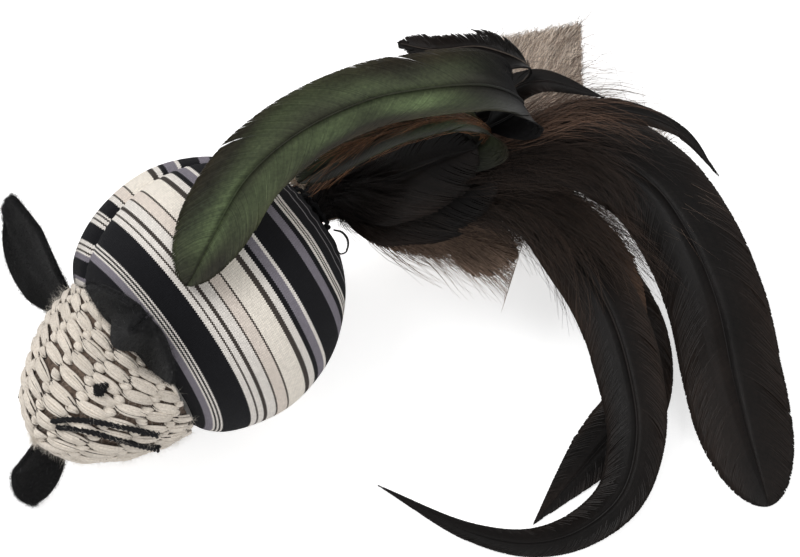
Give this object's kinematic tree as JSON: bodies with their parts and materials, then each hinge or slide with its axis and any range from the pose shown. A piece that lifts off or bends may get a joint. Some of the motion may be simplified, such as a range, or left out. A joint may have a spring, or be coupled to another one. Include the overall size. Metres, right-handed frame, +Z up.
{
  "type": "mouse cat toy",
  "caption": "Stuffed mouse toy: a striped knit ball with a chunky knit snout, felt ears and nose flap, and a long tail of rooster feathers and fur.",
  "frame": {"origin": "middle of the small flat that the ball rests on", "axes": "+X towards the tail, +Y towards the mouse's far side, +Z up; the nose points along -X"},
  "size_m": [0.2273, 0.2094, 0.1],
  "materials": {
    "sock_knit": "matte",
    "chunky_knit": "matte",
    "filling": "matte",
    "black_felt": "matte",
    "black_yarn": "matte",
    "black_feather": "satin",
    "green_feather": "satin",
    "brown_feather": "satin",
    "fur": "matte"
  },
  "bodies": {
    "mouse": {"stuffing": "filling", "body_panel_near": "sock_knit", "body_panel_far": "sock_knit", "snout_cover": "chunky_knit", "near_eye": "black_yarn", "far_eye": "black_yarn", "near_whisker_upper": "black_yarn", "near_whisker_lower": "black_yarn", "far_whisker_upper": "black_yarn", "far_whisker_lower": "black_yarn", "gather_stitch": "black_yarn", "loose_thread": "black_yarn"},
    "near_ear": {"near_ear": "black_felt"},
    "far_ear": {"far_ear": "black_felt"},
    "nose_flap": {"nose_flap": "black_felt"},
    "tail": {"quill_binding": "black_yarn", "black_feather_upper": "black_feather", "black_feather_lower": "black_feather", "green_feather_long": "green_feather", "green_feather_short": "green_feather", "curled_black_feather": "black_feather", "small_pointed_feather": "black_feather", "thin_feather": "black_feather", "wide_feather": "black_feather", "sickle_feather": "black_feather", "middle_feather": "brown_feather", "under_feather": "black_feather", "brown_fringe_feather": "brown_feather", "fur_patch": "fur"}
  },
  "joints": [
    {"name": "near_ear_bend", "type": "hinge", "parent": "mouse", "child": "near_ear", "pos_m": [-0.0337, -0.00515, 0.06543], "axis": [-0.0159, 0.9833, 0.1815], "range_deg": [-18, 6], "stiffness_Nm_per_rad": 0.01},
    {"name": "far_ear_bend", "type": "hinge", "parent": "mouse", "child": "far_ear", "pos_m": [-0.03115, 0.02821, 0.03629], "axis": [0.087, -0.0523, -0.9948], "range_deg": [-18, 6], "stiffness_Nm_per_rad": 0.01},
    {"name": "nose_flap_bend", "type": "hinge", "parent": "mouse", "child": "nose_flap", "pos_m": [-0.06247, 0.00344, 0.02375], "axis": [0.8176, 0.2455, -0.5208], "range_deg": [-12, 30], "stiffness_Nm_per_rad": 0.01},
    {"name": "tail_swing", "type": "hinge", "parent": "mouse", "child": "tail", "pos_m": [0.03666, 0, 0.04371], "axis": [0, 0, 1], "range_deg": [-12, 12], "stiffness_Nm_per_rad": 0.05}
  ]
}
